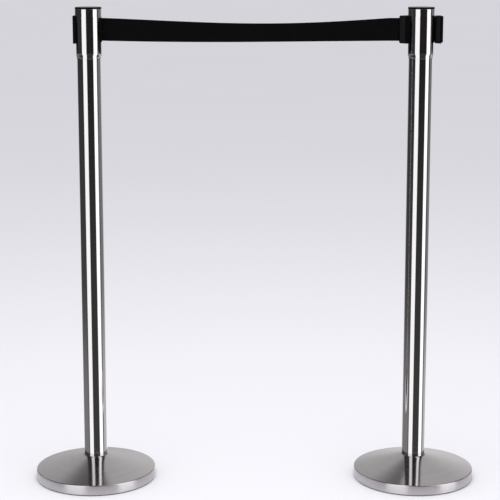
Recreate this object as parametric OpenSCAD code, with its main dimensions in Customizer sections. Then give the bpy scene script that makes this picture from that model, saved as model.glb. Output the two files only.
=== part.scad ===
// Retractable belt stanchion: two posts joined by the belt of the left one.
// Each post carries a spring-loaded belt cassette that pays out on +X, and a
// T-slot receiver on -X that takes the belt end clip of a neighbouring post.
// Origin: on the floor, midway between the two posts. +X runs from the left
// post to the right post, +Z is up. Millimetres.

/* [Posts] */
// Height of a post, floor to cap
post_h = 1030; // [900:5:1100]
// Distance between the axes of the two posts
post_gap = 700; // [600:10:1100]
// Outside diameter of the post tube
tube_d = 50; // [49.6:0.2:50.4]
// Wall of the post tube
tube_wall = 1.2; // [1:0.1:1.5]

/* [Base] */
// Diameter of the round base
base_d = 260; // [250:5:280]
// Height of the upright rim of the base cover
rim_h = 23; // [22:1:28]
// Rise of the conical top from the rim to the tube
cone_rise = 28; // [24:1:32]
// Thickness of the spun base cover
cover_t = 1.2; // [1:0.1:1.5]

/* [Head] */
// Outside diameter of the head sleeve
head_d = 56; // [55.8:0.1:56.4]
// Wall of the head sleeve
head_wall = 1.2; // [1:0.1:1.4]
// Height of the head, from its lower lip to the top of the cap
head_h = 108; // [106:1:112]
// Thickness of the cap that shows above the sleeve
cap_t = 4; // [3:0.5:5]
// Width of the side windows
window_w = 36; // [35:0.2:38]

/* [Belt] */
// Width of the webbing
belt_w = 48; // [46:1:49]
// Thickness of the webbing
belt_t = 0.8; // [0.6:0.1:0.9]
// How far the middle of the span hangs down
belt_sag = 7; // [0:1:12]
// How far the span leans over about its own length, in degrees
belt_lean = 33; // [0:1:35]
// Radius of the belt wound on the left spool, part of it paid out
wound_r_left = 18.4; // [16:0.1:20]
// Radius of the belt wound on the right spool, all of it taken in
wound_r_right = 21.5; // [20:0.1:22]

/* [Belt end clip] */
// Height of the clip
clip_h = 58; // [56:1:60]
// Width of the clip's flange
clip_w = 30; // [28:1:30]

/* [Hidden] */

$fn = 96;
slack = 0.05;        // seated parts of one body
run = 0.05;          // radial clearance of a shaft in its bore

// colours
steel = [0.72, 0.71, 0.70];
dark_steel = [0.45, 0.45, 0.47];
black_plastic = [0.06, 0.06, 0.065];
black_webbing = [0.03, 0.03, 0.035];
iron = [0.22, 0.22, 0.23];
rubber = [0.10, 0.10, 0.10];

// radii
tube_r = tube_d / 2;
tube_in = tube_r - tube_wall;
base_r = base_d / 2;
head_r = head_d / 2;
head_in = head_r - head_wall;

// levels, from the floor up
ring_h = 6;                              // floor ring
foot_z = 2;                              // lower edge of the base cover
weight_z0 = 4;
weight_z1 = 24;
tube_foot_z = weight_z1;                 // the tube stands on the weight
head_z0 = post_h - head_h;               // lower lip of the sleeve
seat_z = post_h - 98;                    // top rim of the tube: the cassette stands on it
cap_z = post_h - cap_t;                  // underside of the cap's disc
belt_z = post_h - 47;                    // middle of the belt
window_z0 = post_h - 103;
window_z1 = post_h - 20;

// base cover
edge_r = 2;                              // rounding between the cone and the rim
neck_r = tube_r + 0.3;                   // hole for the tube
neck_h = 1;                              // small turned-up lip round the tube
cone_r = tube_r + 3;                     // where the cone starts, outside the lip
cone_z = rim_h + cone_rise;              // height of the cone there
cone_slope = atan(cone_rise / (base_r - edge_r - cone_r));

// cassette
housing_r = head_in - 0.3;
housing_wall = 2.1;
housing_in = housing_r - housing_wall;
housing_top = post_h - 14;
housing_top_t = 2.5;
cup_z1 = post_h - 76;                    // rim of the spring cup
cup_floor = seat_z + 2.6;
cup_r = housing_in - 0.15;
cup_in = cup_r - 2;
plug_r = tube_in - 0.15;
axle_r = 3;
spool_z0 = post_h - 74.5;                // lower flange
spool_z1 = post_h - 20;                  // top of the upper flange
flange_t = 1.5;
flange_r = 23.2;
drum_r = 9;
arbor_r = 5.6;
arbor_z0 = cup_floor + 0.6;
spring_z0 = cup_floor + 1.5;
spring_h = 13;
spring_r0 = 6.6;
spring_r1 = cup_in - 0.9;
spring_turns = 8;
spring_t = 0.5;
hook_r = 4.7;                            // how far the spring's inner end reaches in

// outlet of the cassette, on +X
outlet_half = 2.2;                       // half of the gap between the two lips
outlet_h = 51;
lip_r = 2;
lip_x = housing_r - 0.9;

// receiver on -X
rec_depth = 3.8;                         // how far it stands proud of the sleeve
rec_face = head_r + rec_depth;
rec_w = 30;
rec_z1 = post_h - 18;
rec_z0 = rec_z1 - clip_h;
slot_floor = head_r + 0.1;               // floor of the T-slot
slot_lip = 1.4;                          // thickness of the lips over the slot
slot_w = 22.6;
slot_neck = 14.6;
slot_z0 = rec_z0 + 2;
screw_z = [belt_z - 17, belt_z + 17];

// clip, from its belt side (0) to the face of its T-rail
clip_body_d = 11;
clip_flange = 13.6;
clip_head_x0 = 15.4;
clip_depth = 17;
clip_neck_w = 13.8;
clip_head_w = 21.8;
clip_mouth_w = 13;                       // width at the belt side
clip_back_w = 21;                        // width where the body meets the flange
rail_z0 = slot_z0 + 0.2;
rail_z1 = rec_z1 - 1;
pin_x = 6.5;
pin_r = 2;
clip_slot_h = belt_w + 3;
clip_gap = 0.2;                          // between the flange and the receiver

// places of the two clips
left_clip_x = post_gap / 2 - rec_face - clip_gap - clip_flange;
right_clip_x = post_gap / 2 + head_r + 0.3;

// ---------------------------------------------------------------- helpers

module at_left() {
    translate([-post_gap / 2, 0, 0]) children();
}

module at_right() {
    translate([post_gap / 2, 0, 0]) children();
}

// Ring between two radii and two levels
module ring(r_out, r_in, z0, z1) {
    translate([0, 0, z0]) difference() {
        cylinder(r = r_out, h = z1 - z0);
        translate([0, 0, -1]) cylinder(r = r_in, h = z1 - z0 + 2);
    }
}

// Rectangle with rounded corners, centred, made of exact arcs
module round_rect(w, h, r) {
    union() {
        square([w - 2 * r, h], center = true);
        square([w, h - 2 * r], center = true);
        for (sx = [-1, 1], sy = [-1, 1])
            translate([sx * (w / 2 - r), sy * (h / 2 - r)]) circle(r = r, $fn = 48);
    }
}

// Points of an arc about [cx, cy]
function arc(cx, cy, r, a0, a1, n) =
    [for (i = [0:n]) let (a = a0 + (a1 - a0) * i / n) [cx + r * cos(a), cy + r * sin(a)]];

// ---------------------------------------------------------------- base

// Outline of the cover's outside, from the tube out to the floor edge.
// inset moves it inwards by the sheet's thickness.
function cover_outline(inset) =
    concat(
        [[neck_r, cone_z + neck_h - inset]],
        [[tube_r + 1.6, cone_z + neck_h - inset]],
        [[cone_r - inset * sin(cone_slope), cone_z - inset * cos(cone_slope)]],
        arc(base_r - edge_r, rim_h - edge_r, edge_r - inset, 90 - cone_slope, 0, 6),
        [[base_r - inset, foot_z]]
    );

module base_cover() {
    outside = cover_outline(0);
    inside = cover_outline(cover_t);
    n = len(inside);
    color(steel) rotate_extrude($fn = 128)
        polygon(concat(outside, [for (i = [0:n - 1]) inside[n - 1 - i]]));
}

// Cast weight: its boss is the socket of the tube and carries the cover
module base_weight() {
    weight_r = base_r - cover_t - 1.8;
    boss_r = tube_r + 9;
    // just under the cover
    boss_z = cone_z - (boss_r - cone_r) * tan(cone_slope) - cover_t / cos(cone_slope) - 0.3;
    color(iron) difference() {
        union() {
            translate([0, 0, weight_z0]) cylinder(r = weight_r, h = 14);
            translate([0, 0, weight_z0 + 13]) cylinder(r1 = weight_r, r2 = boss_r + 14, h = 7);
            translate([0, 0, weight_z0 + 14]) cylinder(r = boss_r, h = boss_z - weight_z0 - 14);
        }
        // socket of the tube
        translate([0, 0, tube_foot_z]) cylinder(r = tube_r + slack, h = 60);
        // recess for the bolt head and the washer
        translate([0, 0, weight_z0 - 1]) cylinder(r = 19, h = 9);
        translate([0, 0, 0]) cylinder(r = 6.2, h = 40);
        // groove for the floor ring
        ring(base_r - 9.9, base_r - 22.1, weight_z0 - 1, ring_h);
    }
}

// Rubber ring that the base stands on
module floor_ring() {
    color(rubber) ring(base_r - 10, base_r - 22, 0, ring_h - 0.05);
}

// Hexagon-head bolt that draws the tube down on the weight
module base_bolt() {
    head_z = weight_z0 + 0.6;
    head_t = 5;
    color(dark_steel) union() {
        translate([0, 0, head_z]) cylinder(r = 9.2, h = head_t, $fn = 6);
        translate([0, 0, head_z]) cylinder(r = 5.8, h = 44);
    }
}

module base_washer() {
    color(dark_steel) ring(15, 6.2, weight_z0 + 5.65, weight_z0 + 7.95);
}

// Steel plug in the foot of the tube, tapped for the bolt
module tube_plug() {
    color(dark_steel) difference() {
        translate([0, 0, tube_foot_z + 0.05]) cylinder(r = tube_in - slack, h = 26);
        translate([0, 0, tube_foot_z - 1]) cylinder(r = 5.85, h = 40);
    }
}

module tube() {
    color(steel) ring(tube_r, tube_in, tube_foot_z + 0.05, seat_z);
}

// ---------------------------------------------------------------- head

// Stadium-shaped window, cut through the sleeve along X
module window() {
    r = window_w / 2;
    rotate([90, 0, 90]) linear_extrude(height = 4 * head_r, center = true) union() {
        translate([-r, window_z0 + r]) square([window_w, window_z1 - window_z0 - window_w]);
        translate([0, window_z0 + r]) circle(r = r);
        translate([0, window_z1 - r]) circle(r = r);
    }
}

// Sleeve of the head: necked in at its foot so that it grips the tube
module head_sleeve() {
    neck_z = head_z0 + 2;
    flare_z = seat_z + 2;
    color(steel) difference() {
        rotate_extrude() polygon([
            [tube_r + slack, head_z0], [tube_r + 0.7, head_z0], [tube_r + 1.0, neck_z],
            [tube_r + 1.6, neck_z + 3], [head_r - 0.5, flare_z - 3], [head_r, flare_z],
            [head_r, cap_z - 0.05], [head_in, cap_z - 0.05], [head_in, seat_z - 0.1],
            [tube_r + slack, seat_z - 1]
        ]);
        window();
    }
}

// Cap that closes the head
module head_cap() {
    plug = 7;
    edge = 1.2;
    color(black_plastic) union() {
        rotate_extrude() polygon(concat(
            [[0, cap_z], [head_r, cap_z]],
            arc(head_r - edge, post_h - edge, edge, 0, 90, 6),
            [[0, post_h]]
        ));
        ring(head_in - slack, head_in - 2, cap_z - plug, cap_z + 1);
    }
}

// ---------------------------------------------------------------- cassette

module housing_screw_places() {
    for (side = [-1, 1]) rotate([0, 0, 90 * side]) children();
}

// Countersunk screw along +X: head face at x, shank inwards
module flat_screw(x, z, head, shank, length) {
    translate([x, 0, z]) rotate([0, -90, 0]) union() {
        cylinder(r1 = head, r2 = shank, h = head - shank, $fn = 32);
        cylinder(r = shank, h = length, $fn = 32);
    }
}

module cassette_housing() {
    color(black_plastic) difference() {
        union() {
            difference() {
                translate([0, 0, seat_z + 0.05]) cylinder(r = housing_r, h = housing_top - seat_z - 0.05);
                translate([0, 0, seat_z - 1]) cylinder(r = housing_in, h = housing_top - housing_top_t - seat_z + 1);
                // outlet
                translate([housing_in - 4, -outlet_half - lip_r, belt_z - outlet_h / 2])
                    cube([12, 2 * (outlet_half + lip_r), outlet_h]);
            }
            // rounded lips either side of the outlet
            for (side = [-1, 1]) translate([lip_x, side * (outlet_half + lip_r), belt_z - outlet_h / 2 - 2])
                cylinder(r = lip_r, h = outlet_h + 2, $fn = 48);
        }
        // bore for the axle
        translate([0, 0, housing_top - housing_top_t - 1]) cylinder(r = axle_r + 0.02, h = housing_top_t);
        // holes for the screws that hold the spring cup
        housing_screw_places() flat_screw(housing_r + 0.01, seat_z + 9, 2.75, 1.55, 5);
        // holes for the screws that hold the receiver
        for (z = screw_z) translate([-housing_r - 1, 0, z]) rotate([0, 90, 0]) cylinder(r = 1.25, h = 5, $fn = 32);
    }
}

module housing_screws() {
    color(dark_steel) housing_screw_places() flat_screw(housing_r - 0.05, seat_z + 9, 2.6, 1.45, 4.6);
}

// Cup that holds the spring and plugs the cassette into the tube
module spring_cup() {
    color(black_plastic) difference() {
        union() {
            translate([0, 0, seat_z + 0.05]) cylinder(r = cup_r, h = cup_z1 - seat_z - 0.05);
            translate([0, 0, seat_z - 8]) cylinder(r = plug_r, h = 9);
        }
        translate([0, 0, cup_floor]) cylinder(r = cup_in, h = 60);
        translate([0, 0, seat_z - 20]) cylinder(r = axle_r + 0.02, h = 60);
        translate([0, 0, seat_z - 9]) cylinder(r = plug_r - 4, h = 7.5);
        housing_screw_places() translate([cup_in - 1, 0, seat_z + 9]) rotate([0, 90, 0])
            cylinder(r = 1.52, h = 6, $fn = 32);
        // notch that holds the spring's outer end
        translate([cup_in - 0.5, -0.8, cup_floor]) cube([1.8, 1.1, cup_z1]);
    }
}

// Flat spiral spring that takes the belt in: one strip, hooked to the arbor and to the cup
module spring() {
    n = spring_turns * 20;
    inner_bend = sqrt(spring_r0 * spring_r0 - spring_t * spring_t);
    outer_bend = sqrt(pow(spring_r1 + spring_t, 2) - spring_t * spring_t);
    function at(i, dr) =
        let (a = 360 * spring_turns * i / n, r = spring_r0 + (spring_r1 - spring_r0) * i / n + dr)
        [r * cos(a), r * sin(a)];
    color(dark_steel) translate([0, 0, spring_z0]) linear_extrude(height = spring_h) polygon(concat(
        [[hook_r, 0]],
        [for (i = [0:n - 1]) at(i, spring_t)],
        [[outer_bend, -spring_t], [cup_in + 1, -spring_t], [cup_in + 1, 0]],
        [for (i = [n:-1:1]) at(i, 0)],
        [[inner_bend, spring_t], [hook_r, spring_t]]
    ));
}

module axle() {
    color(steel) translate([0, 0, seat_z - 1.4]) cylinder(r = axle_r, h = housing_top - 1.6 - seat_z + 1.4);
}

// Washer that the spool runs on
module thrust_washer() {
    color(steel) ring(5.4, axle_r + 0.1, cup_floor + 0.02, arbor_z0 - 0.08);
}

// Spool: drum between two flanges, with the arbor for the spring below
module spool() {
    color(black_plastic) difference() {
        union() {
            translate([0, 0, spool_z0]) cylinder(r = flange_r, h = flange_t);
            translate([0, 0, spool_z0]) cylinder(r = drum_r, h = spool_z1 - spool_z0);
            translate([0, 0, spool_z1 - flange_t]) cylinder(r = flange_r, h = flange_t);
            translate([0, 0, arbor_z0]) cylinder(r = arbor_r, h = spool_z0 - arbor_z0 + 0.5);
            translate([0, 0, spool_z1 - 0.5]) cylinder(r = arbor_r, h = 3.2);
        }
        translate([0, 0, arbor_z0 - 1]) cylinder(r = axle_r + run, h = 100);
        // slot for the spring's inner end
        translate([hook_r - 0.4, -0.4, arbor_z0 - 1]) cube([3, spring_t + 0.8, spring_h + 3]);
        // holes that lighten the flanges
        for (a = [0:60:300], z = [spool_z0, spool_z1 - flange_t]) rotate([0, 0, a])
            translate([16, 0, z - 1]) cylinder(r = 3.2, h = flange_t + 2, $fn = 32);
    }
}

// Webbing wound on the drum
module wound_belt(r) {
    color(black_webbing) ring(r, drum_r + slack, belt_z - belt_w / 2, belt_z + belt_w / 2);
}

// ---------------------------------------------------------------- receiver

module receiver() {
    edge = 1;
    back_w = 24;
    back_z0 = rec_z0 + 1;
    back_z1 = post_h - 25.5;
    color(black_plastic) difference() {
        union() {
            // saddle that stands proud of the sleeve
            difference() {
                translate([0, 0, rec_z0]) linear_extrude(height = clip_h) polygon([
                    [-18, -rec_w / 2], [-18, rec_w / 2], [-rec_face + edge, rec_w / 2],
                    [-rec_face, rec_w / 2 - edge], [-rec_face, -rec_w / 2 + edge], [-rec_face + edge, -rec_w / 2]
                ]);
                translate([0, 0, rec_z0 - 1]) cylinder(r = head_r + 0.08, h = clip_h + 2);
            }
            // boss that reaches the housing through the window
            difference() {
                translate([-head_r - 0.6, -back_w / 2, back_z0]) cube([10, back_w, back_z1 - back_z0]);
                translate([0, 0, back_z0 - 1]) cylinder(r = housing_r + slack, h = clip_h + 2);
            }
        }
        // T-slot, open at the top
        translate([slot_lip - rec_face, -slot_w / 2, slot_z0])
            cube([rec_face - slot_lip - slot_floor, slot_w, clip_h]);
        translate([-rec_face - 1, -slot_neck / 2, slot_z0])
            cube([rec_face + 1 - slot_floor, slot_neck, clip_h]);
        // countersunk holes
        for (z = screw_z) mirror([1, 0, 0]) flat_screw(slot_floor + 0.01, z, 2.45, 1.3, 6);
    }
}

module receiver_screws() {
    color(dark_steel) for (z = screw_z) mirror([1, 0, 0]) flat_screw(slot_floor - 0.05, z, 2.3, 1.2, 3.4);
}

// ---------------------------------------------------------------- clip

// Side view of the clip, rounded at its corners, through the whole width
module clip_outline(x0, x1, r) {
    translate([(x0 + x1) / 2, 0, belt_z]) rotate([90, 0, 0])
        linear_extrude(height = 60, center = true) round_rect(x1 - x0, clip_h, r);
}

// Clip body, drawn with its belt side at x = 0 and its T-rail towards +X
module clip_body() {
    color(black_plastic) difference() {
        union() {
            intersection() {
                translate([0, 0, belt_z - clip_h / 2]) linear_extrude(height = clip_h) polygon([
                    [1.2, -clip_mouth_w / 2], [0, -clip_mouth_w / 2 + 1.6], [0, clip_mouth_w / 2 - 1.6],
                    [1.2, clip_mouth_w / 2], [clip_body_d, clip_back_w / 2], [clip_body_d, clip_w / 2 - 0.6],
                    [clip_body_d + 0.6, clip_w / 2], [clip_flange - 0.6, clip_w / 2], [clip_flange, clip_w / 2 - 0.6],
                    [clip_flange, -clip_w / 2 + 0.6], [clip_flange - 0.6, -clip_w / 2],
                    [clip_body_d + 0.6, -clip_w / 2], [clip_body_d, -clip_w / 2 + 0.6], [clip_body_d, -clip_back_w / 2]
                ]);
                clip_outline(0, 40, 3);
            }
            translate([clip_flange - 0.5, -clip_neck_w / 2, rail_z0])
                cube([clip_head_x0 - clip_flange + 1, clip_neck_w, rail_z1 - rail_z0]);
            translate([clip_head_x0, -clip_head_w / 2, rail_z0])
                cube([clip_depth - clip_head_x0, clip_head_w, rail_z1 - rail_z0]);
        }
        // mouth that the belt enters, and the chamber round the pin
        translate([-1, -1.6, belt_z - clip_slot_h / 2]) cube([pin_x + 1, 3.2, clip_slot_h]);
        translate([pin_x, 0, belt_z - clip_slot_h / 2]) cylinder(r = 3.6, h = clip_slot_h, $fn = 64);
        // bore for the pin, open below
        translate([pin_x, 0, belt_z - clip_h / 2 - 1]) cylinder(r = pin_r + 0.02, h = clip_h - 1.5, $fn = 64);
    }
}

module clip_pin() {
    color(steel) translate([pin_x, 0, belt_z - clip_h / 2 + 0.4]) cylinder(r = pin_r, h = clip_h - 3.2, $fn = 64);
}

// ---------------------------------------------------------------- belt

// A stretch of webbing swept along stations [x, y, z of its middle, heading, lean].
// Each station is a cross-section, belt_w tall and belt_t thick.
function section(s) =
    let (across = [-sin(s[3]), cos(s[3]), 0], lean = s[4],
         up = [across[0] * -sin(lean), across[1] * -sin(lean), cos(lean)],
         out = [across[0] * cos(lean), across[1] * cos(lean), sin(lean)])
    [for (c = [[-1, -1], [1, -1], [1, 1], [-1, 1]])
        [s[0], s[1], s[2]] + up * (c[0] * belt_w / 2) + out * (c[1] * belt_t / 2)];

// Both broad walls are split along the same diagonal, which keeps them apart where the belt twists.
module webbing(stations) {
    n = len(stations);
    points = [for (s = stations) each section(s)];
    sides = [for (i = [0:n - 2]) let (p = 4 * i, q = p + 4) each [
        [p, p + 1, q + 1], [p, q + 1, q],
        [p + 1, p + 2, q + 2, q + 1],
        [p + 2, p + 3, q + 2], [p + 3, q + 3, q + 2],
        [p + 3, p, q, q + 3]
    ]];
    ends = [[3, 2, 1, 0], [4 * n - 4, 4 * n - 3, 4 * n - 2, 4 * n - 1]];
    color(black_webbing) polyhedron(points, concat(ends, sides), convexity = 6);
}

layer_y = belt_t / 2 + 0.03;             // middle of one of two layers lying together
outlet_y = outlet_half - belt_t / 2 - 0.15;
loop_r = pin_r + 0.12 + belt_t / 2;      // middle of the layer round the pin

// From the wound webbing, straight to one lip of the outlet and round it.
// The spool's axis is at x = start.
function feed(start, wound_r) =
    let (r = wound_r + 0.3 + belt_t / 2, lip_y = outlet_half + lip_r, bend_r = lip_y - outlet_y,
         touch = atan2(lip_y, lip_x) + acos((r + bend_r) / norm([lip_x, lip_y])))
    concat(
        [[start + r * cos(touch), r * sin(touch), belt_z, touch - 90, 0]],
        [for (i = [0:3]) let (a = touch + (90 - touch) * i / 3)
            [start + lip_x - bend_r * cos(a), lip_y - bend_r * sin(a), belt_z, a - 90, 0]]
    );

// Round the pin of a clip whose belt side is at x = x0, and back out by hem
function pin_loop(x0, hem) =
    let (px = x0 + pin_x)
    concat(
        [[px - 5, layer_y, belt_z, 0, 0], [px - 3.9, layer_y + 0.15, belt_z, 14, 0]],
        [for (a = [130:-26:-130]) [px + loop_r * cos(a), loop_r * sin(a), belt_z, a - 90, 0]],
        [[px - 3.9, -layer_y - 0.15, belt_z, -194, 0], [px - 5, -layer_y, belt_z, -180, 0],
         [px - 5 - hem, -layer_y, belt_z, -180, 0]]
    );

// The span between the posts
function span(x0, x1, n) =
    [for (i = [0:n]) let (t = i / n, hang = sin(180 * pow(t, 1.08)), lean = sin(180 * pow(t, 1.35)))
        [x0 + (x1 - x0) * t, outlet_y + (layer_y - outlet_y) * t,
         belt_z - belt_sag * hang, 0, belt_lean * pow(max(lean, 0), 0.6)]];

module belt_span() {
    hem = 20;
    start = -post_gap / 2;
    webbing(concat(
        feed(start, wound_r_left),
        span(start + lip_x + 3, left_clip_x - hem - 2, 48),
        pin_loop(left_clip_x, hem)
    ));
}

module right_belt() {
    webbing(concat(feed(post_gap / 2, wound_r_right), pin_loop(right_clip_x, 3)));
}

// ---------------------------------------------------------------- assembly

at_left() base_cover();  // left_base_cover
at_left() base_weight();  // left_base_weight
at_left() floor_ring();  // left_floor_ring
at_left() base_bolt();  // left_base_bolt
at_left() base_washer();  // left_base_washer
at_left() tube_plug();  // left_tube_plug
at_left() tube();  // left_tube
at_left() head_sleeve();  // left_head_sleeve
at_left() head_cap();  // left_head_cap
at_left() cassette_housing();  // left_cassette_housing
at_left() housing_screws();  // left_housing_screws
at_left() spring_cup();  // left_spring_cup
at_left() spring();  // left_spring
at_left() axle();  // left_axle
at_left() thrust_washer();  // left_thrust_washer
at_left() spool();  // left_spool
at_left() wound_belt(wound_r_left);  // left_wound_belt
at_left() receiver();  // left_receiver
at_left() receiver_screws();  // left_receiver_screws
belt_span();
translate([left_clip_x, 0, 0]) clip_body();  // left_clip_body
translate([left_clip_x, 0, 0]) clip_pin();  // left_clip_pin

at_right() base_cover();  // right_base_cover
at_right() base_weight();  // right_base_weight
at_right() floor_ring();  // right_floor_ring
at_right() base_bolt();  // right_base_bolt
at_right() base_washer();  // right_base_washer
at_right() tube_plug();  // right_tube_plug
at_right() tube();  // right_tube
at_right() head_sleeve();  // right_head_sleeve
at_right() head_cap();  // right_head_cap
at_right() cassette_housing();  // right_cassette_housing
at_right() housing_screws();  // right_housing_screws
at_right() spring_cup();  // right_spring_cup
at_right() spring();  // right_spring
at_right() axle();  // right_axle
at_right() thrust_washer();  // right_thrust_washer
at_right() spool();  // right_spool
at_right() wound_belt(wound_r_right);  // right_wound_belt
at_right() receiver();  // right_receiver
at_right() receiver_screws();  // right_receiver_screws
right_belt();
translate([right_clip_x, 0, 0]) clip_body();  // right_clip_body
translate([right_clip_x, 0, 0]) clip_pin();  // right_clip_pin
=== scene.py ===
"""Looks of the retractable belt stanchion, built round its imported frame. Lengths are in metres."""
import math

import bmesh
import bpy
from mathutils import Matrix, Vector


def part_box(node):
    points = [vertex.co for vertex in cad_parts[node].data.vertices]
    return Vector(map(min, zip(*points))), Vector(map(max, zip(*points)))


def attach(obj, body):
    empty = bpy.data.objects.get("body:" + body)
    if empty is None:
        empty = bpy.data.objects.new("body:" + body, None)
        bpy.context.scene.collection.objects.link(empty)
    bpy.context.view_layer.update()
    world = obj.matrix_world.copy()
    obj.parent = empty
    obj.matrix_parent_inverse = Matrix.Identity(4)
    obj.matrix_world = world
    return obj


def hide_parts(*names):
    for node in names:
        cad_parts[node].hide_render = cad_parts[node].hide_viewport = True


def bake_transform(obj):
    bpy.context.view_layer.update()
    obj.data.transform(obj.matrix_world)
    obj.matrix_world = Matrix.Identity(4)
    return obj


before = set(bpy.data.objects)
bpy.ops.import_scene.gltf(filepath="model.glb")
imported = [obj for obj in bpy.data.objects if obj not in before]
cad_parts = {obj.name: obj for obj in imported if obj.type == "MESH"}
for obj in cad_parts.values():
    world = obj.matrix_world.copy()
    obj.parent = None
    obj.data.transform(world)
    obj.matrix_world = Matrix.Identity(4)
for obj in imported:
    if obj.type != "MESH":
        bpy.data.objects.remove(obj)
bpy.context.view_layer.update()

MM = 0.001
SEGMENTS = 160          # round a lathed piece
COVER_SEGMENTS = 256    # round the wide base cover
POST_BODY = {"left": "root", "right": "right_post"}


# ------------------------------------------------------------------ sizes, from the frame

def axis_x(side):
    """Where a post stands."""
    low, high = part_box(f"{side}_tube")
    return (low.x + high.x) / 2


def radius(node):
    """Half of a round node's depth."""
    low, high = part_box(node)
    return (high.y - low.y) / 2


TUBE_R = radius("left_tube")
HEAD_R = radius("left_head_sleeve")
HOUSING_R = radius("left_cassette_housing")
BASE_R = radius("left_base_cover")
RIM_Z = 23 * MM                         # top of the base cover's rim, where its cone starts
SHEET = 1.2 * MM                        # gauge of the base cover, the tube and the head sleeve
POST_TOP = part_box("left_head_cap")[1].z
SLEEVE_Z0, SLEEVE_Z1 = (corner.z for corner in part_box("left_head_sleeve"))
BELT_Z = POST_TOP - 47 * MM             # middle of the belt
BELT_W, BELT_T = 48 * MM, 0.8 * MM
MOUTH_HALF = 25.5 * MM                  # half the height of the slots that the belt goes through
LIP_R, GAP_HALF = 2 * MM, 2.2 * MM      # the outlet's two beads, and half the gap between them
LIP_X = HOUSING_R - 0.9 * MM            # from the post's axis to the beads


# ------------------------------------------------------------------ mesh helpers

def rounded(corners, steps, guard=0.0):
    """A closed 2-D path from (x, y, radius) corners, each rounded in as many steps; a radius of 0
    leaves the corner sharp. A point at guard either side of each rounding keeps the shading of the
    straight parts even."""
    path = []
    count = len(corners)
    for i, (x, y, r) in enumerate(corners):
        here = Vector((x, y))
        if r == 0:
            path.append(here)
            continue
        back = (Vector(corners[i - 1][:2]) - here).normalized()
        ahead = (Vector(corners[(i + 1) % count][:2]) - here).normalized()
        half = back.angle(ahead) / 2
        centre = here + (back + ahead).normalized() * (r / math.sin(half))
        spoke = here + back * (r / math.tan(half)) - centre
        turn = math.copysign(math.pi - 2 * half, back.y * ahead.x - back.x * ahead.y)
        if guard:
            path.append(here + back * (r / math.tan(half) + guard))
        for k in range(steps + 1):
            a = turn * k / steps
            path.append(centre + Vector((spoke.x * math.cos(a) - spoke.y * math.sin(a),
                                         spoke.x * math.sin(a) + spoke.y * math.cos(a))))
        if guard:
            path.append(here + ahead * (r / math.tan(half) + guard))
    return path


def arc(cx, cy, r, first, last, steps):
    """Points of an arc; the angles are in degrees."""
    return [Vector((cx + r * math.cos(math.radians(first + (last - first) * k / steps)),
                    cy + r * math.sin(math.radians(first + (last - first) * k / steps))))
            for k in range(steps + 1)]


def piece(name, bm, finish, x=0.0, sharp=35):
    """An object made from bm, which is drawn about x = 0 and then stands at x. Edges that turn by
    more than sharp degrees stay sharp."""
    bmesh.ops.recalc_face_normals(bm, faces=bm.faces)
    mesh = bpy.data.meshes.new(name)
    bm.to_mesh(mesh)
    bm.free()
    mesh.shade_smooth()
    mesh.set_sharp_from_angle(angle=math.radians(sharp))
    mesh.materials.append(finish)
    obj = bpy.data.objects.new(name, mesh)
    bpy.context.scene.collection.objects.link(obj)
    obj.location.x = x
    return obj


def place(obj, body, slot, *nodes):
    """obj moves with body and stands for nodes, which it hides. slot is not used."""
    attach(obj, body)
    if nodes:
        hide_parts(*nodes)


def lathe(bm, outline, segments=SEGMENTS):
    """Turns a closed outline of (radius, height) about the vertical axis."""
    rings = []
    for r, z in outline:
        if r < 1e-7:
            rings.append([bm.verts.new((0, 0, z))])
            continue
        rings.append([bm.verts.new((r * math.cos(2 * math.pi * k / segments),
                                    r * math.sin(2 * math.pi * k / segments), z))
                      for k in range(segments)])
    for ring, following in zip(rings, rings[1:] + rings[:1]):
        for k in range(segments):
            quad = [ring[k % len(ring)], ring[(k + 1) % len(ring)],
                    following[(k + 1) % len(following)], following[k % len(following)]]
            corners = list(dict.fromkeys(quad))
            if len(corners) > 2:
                bm.faces.new(corners)


def loft(bm, rings):
    """A closed solid through rings of equally many vertices."""
    for near, far in zip(rings, rings[1:]):
        for k in range(len(near)):
            j = (k + 1) % len(near)
            bm.faces.new((near[k], near[j], far[j], far[k]))
    bm.faces.new(rings[0])
    bm.faces.new(rings[-1])


def column(bm, rows, notches):
    """A solid through rows of (height, outline). Each notch (k, path, first, last) replaces the
    side between outline points k and k + 1 by path, from row first to row last."""
    outer = [[bm.verts.new((p[0], p[1], z)) for p in outline] for z, outline in rows]
    count = len(rows[0][1])
    inner = {}
    for k, path, first, last in notches:
        for i in range(first, last + 1):
            inner[i, k] = [bm.verts.new((p[0], p[1], rows[i][0])) for p in path]

    def loop(i):
        """All vertices round row i, in order."""
        verts = []
        for k in range(count):
            verts.append(outer[i][k])
            verts += inner.get((i, k), [])
        return verts

    cut = {(i, k) for k, _, first, last in notches for i in range(first, last)}
    for i in range(len(rows) - 1):
        for k in range(count):
            following = (k + 1) % count
            low, high = [outer[i][k]], [outer[i + 1][k]]
            if (i, k) in cut:
                low += inner[i, k]
                high += inner[i + 1, k]
            low.append(outer[i][following])
            high.append(outer[i + 1][following])
            for j in range(len(low) - 1):
                bm.faces.new((low[j], low[j + 1], high[j + 1], high[j]))
    for k, _, first, last in notches:
        for i in (first, last):
            if 0 < i < len(rows) - 1:
                bm.faces.new([outer[i][k], *inner[i, k], outer[i][(k + 1) % count]])
    bm.faces.new(loop(0))
    bm.faces.new(loop(len(rows) - 1))


def soften(bm, width):
    """Rounds every edge that turns by more than 32 degrees."""
    bm.normal_update()
    limit = math.radians(32)
    sharp = [e for e in bm.edges if len(e.link_faces) == 2 and e.calc_face_angle() > limit]
    bmesh.ops.bevel(bm, geom=sharp, offset=width, segments=2, profile=0.5, affect="EDGES",
                    clamp_overlap=True)


def keep_flats_flat(obj):
    """Shades the flat faces flat and lets only the rounded edges turn."""
    obj.modifiers.new("shading", "WEIGHTED_NORMAL").keep_sharp = True
    return obj


# ------------------------------------------------------------------ materials

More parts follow.
